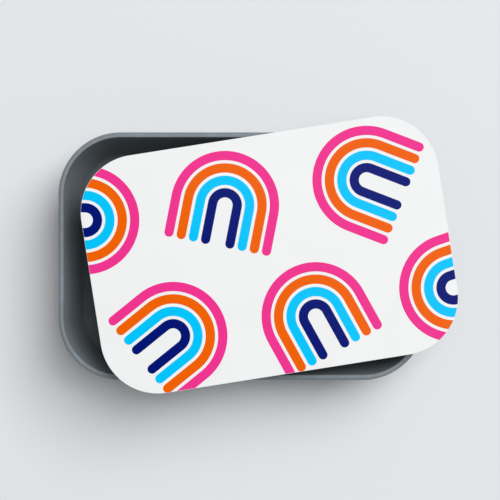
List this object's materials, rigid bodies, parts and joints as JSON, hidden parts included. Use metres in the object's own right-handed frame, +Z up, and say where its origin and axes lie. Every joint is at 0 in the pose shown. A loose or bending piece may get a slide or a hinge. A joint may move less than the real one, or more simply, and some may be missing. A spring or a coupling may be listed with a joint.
{
  "type": "lunch box",
  "caption": "Rounded rectangular lunch box with a beaded rim and a loose press-in lid that has a printed top and a plug with a seal.",
  "frame": {"origin": "middle of the box's underside, on the surface it stands on", "axes": "+X along the box's long side, towards the end the lid hangs over; +Y along its short side; +Z up"},
  "size_m": [0.1948, 0.1342, 0.0544],
  "materials": {
    "box_plastic": "satin",
    "lid_plastic": "satin",
    "adhesive_film": "matte",
    "printed_sheet": "satin",
    "seal_silicone": "satin"
  },
  "bodies": {
    "box": {"box_body": "box_plastic"},
    "lid": {"lid_moulding": "lid_plastic", "panel_adhesive": "adhesive_film", "printed_panel": "printed_sheet", "lid_seal": "seal_silicone"}
  },
  "joints": [
    {"name": "lid_lift", "type": "slide", "parent": "box", "child": "lid", "axis": [0, 0, 1], "range_m": [0, 0.08]}
  ]
}
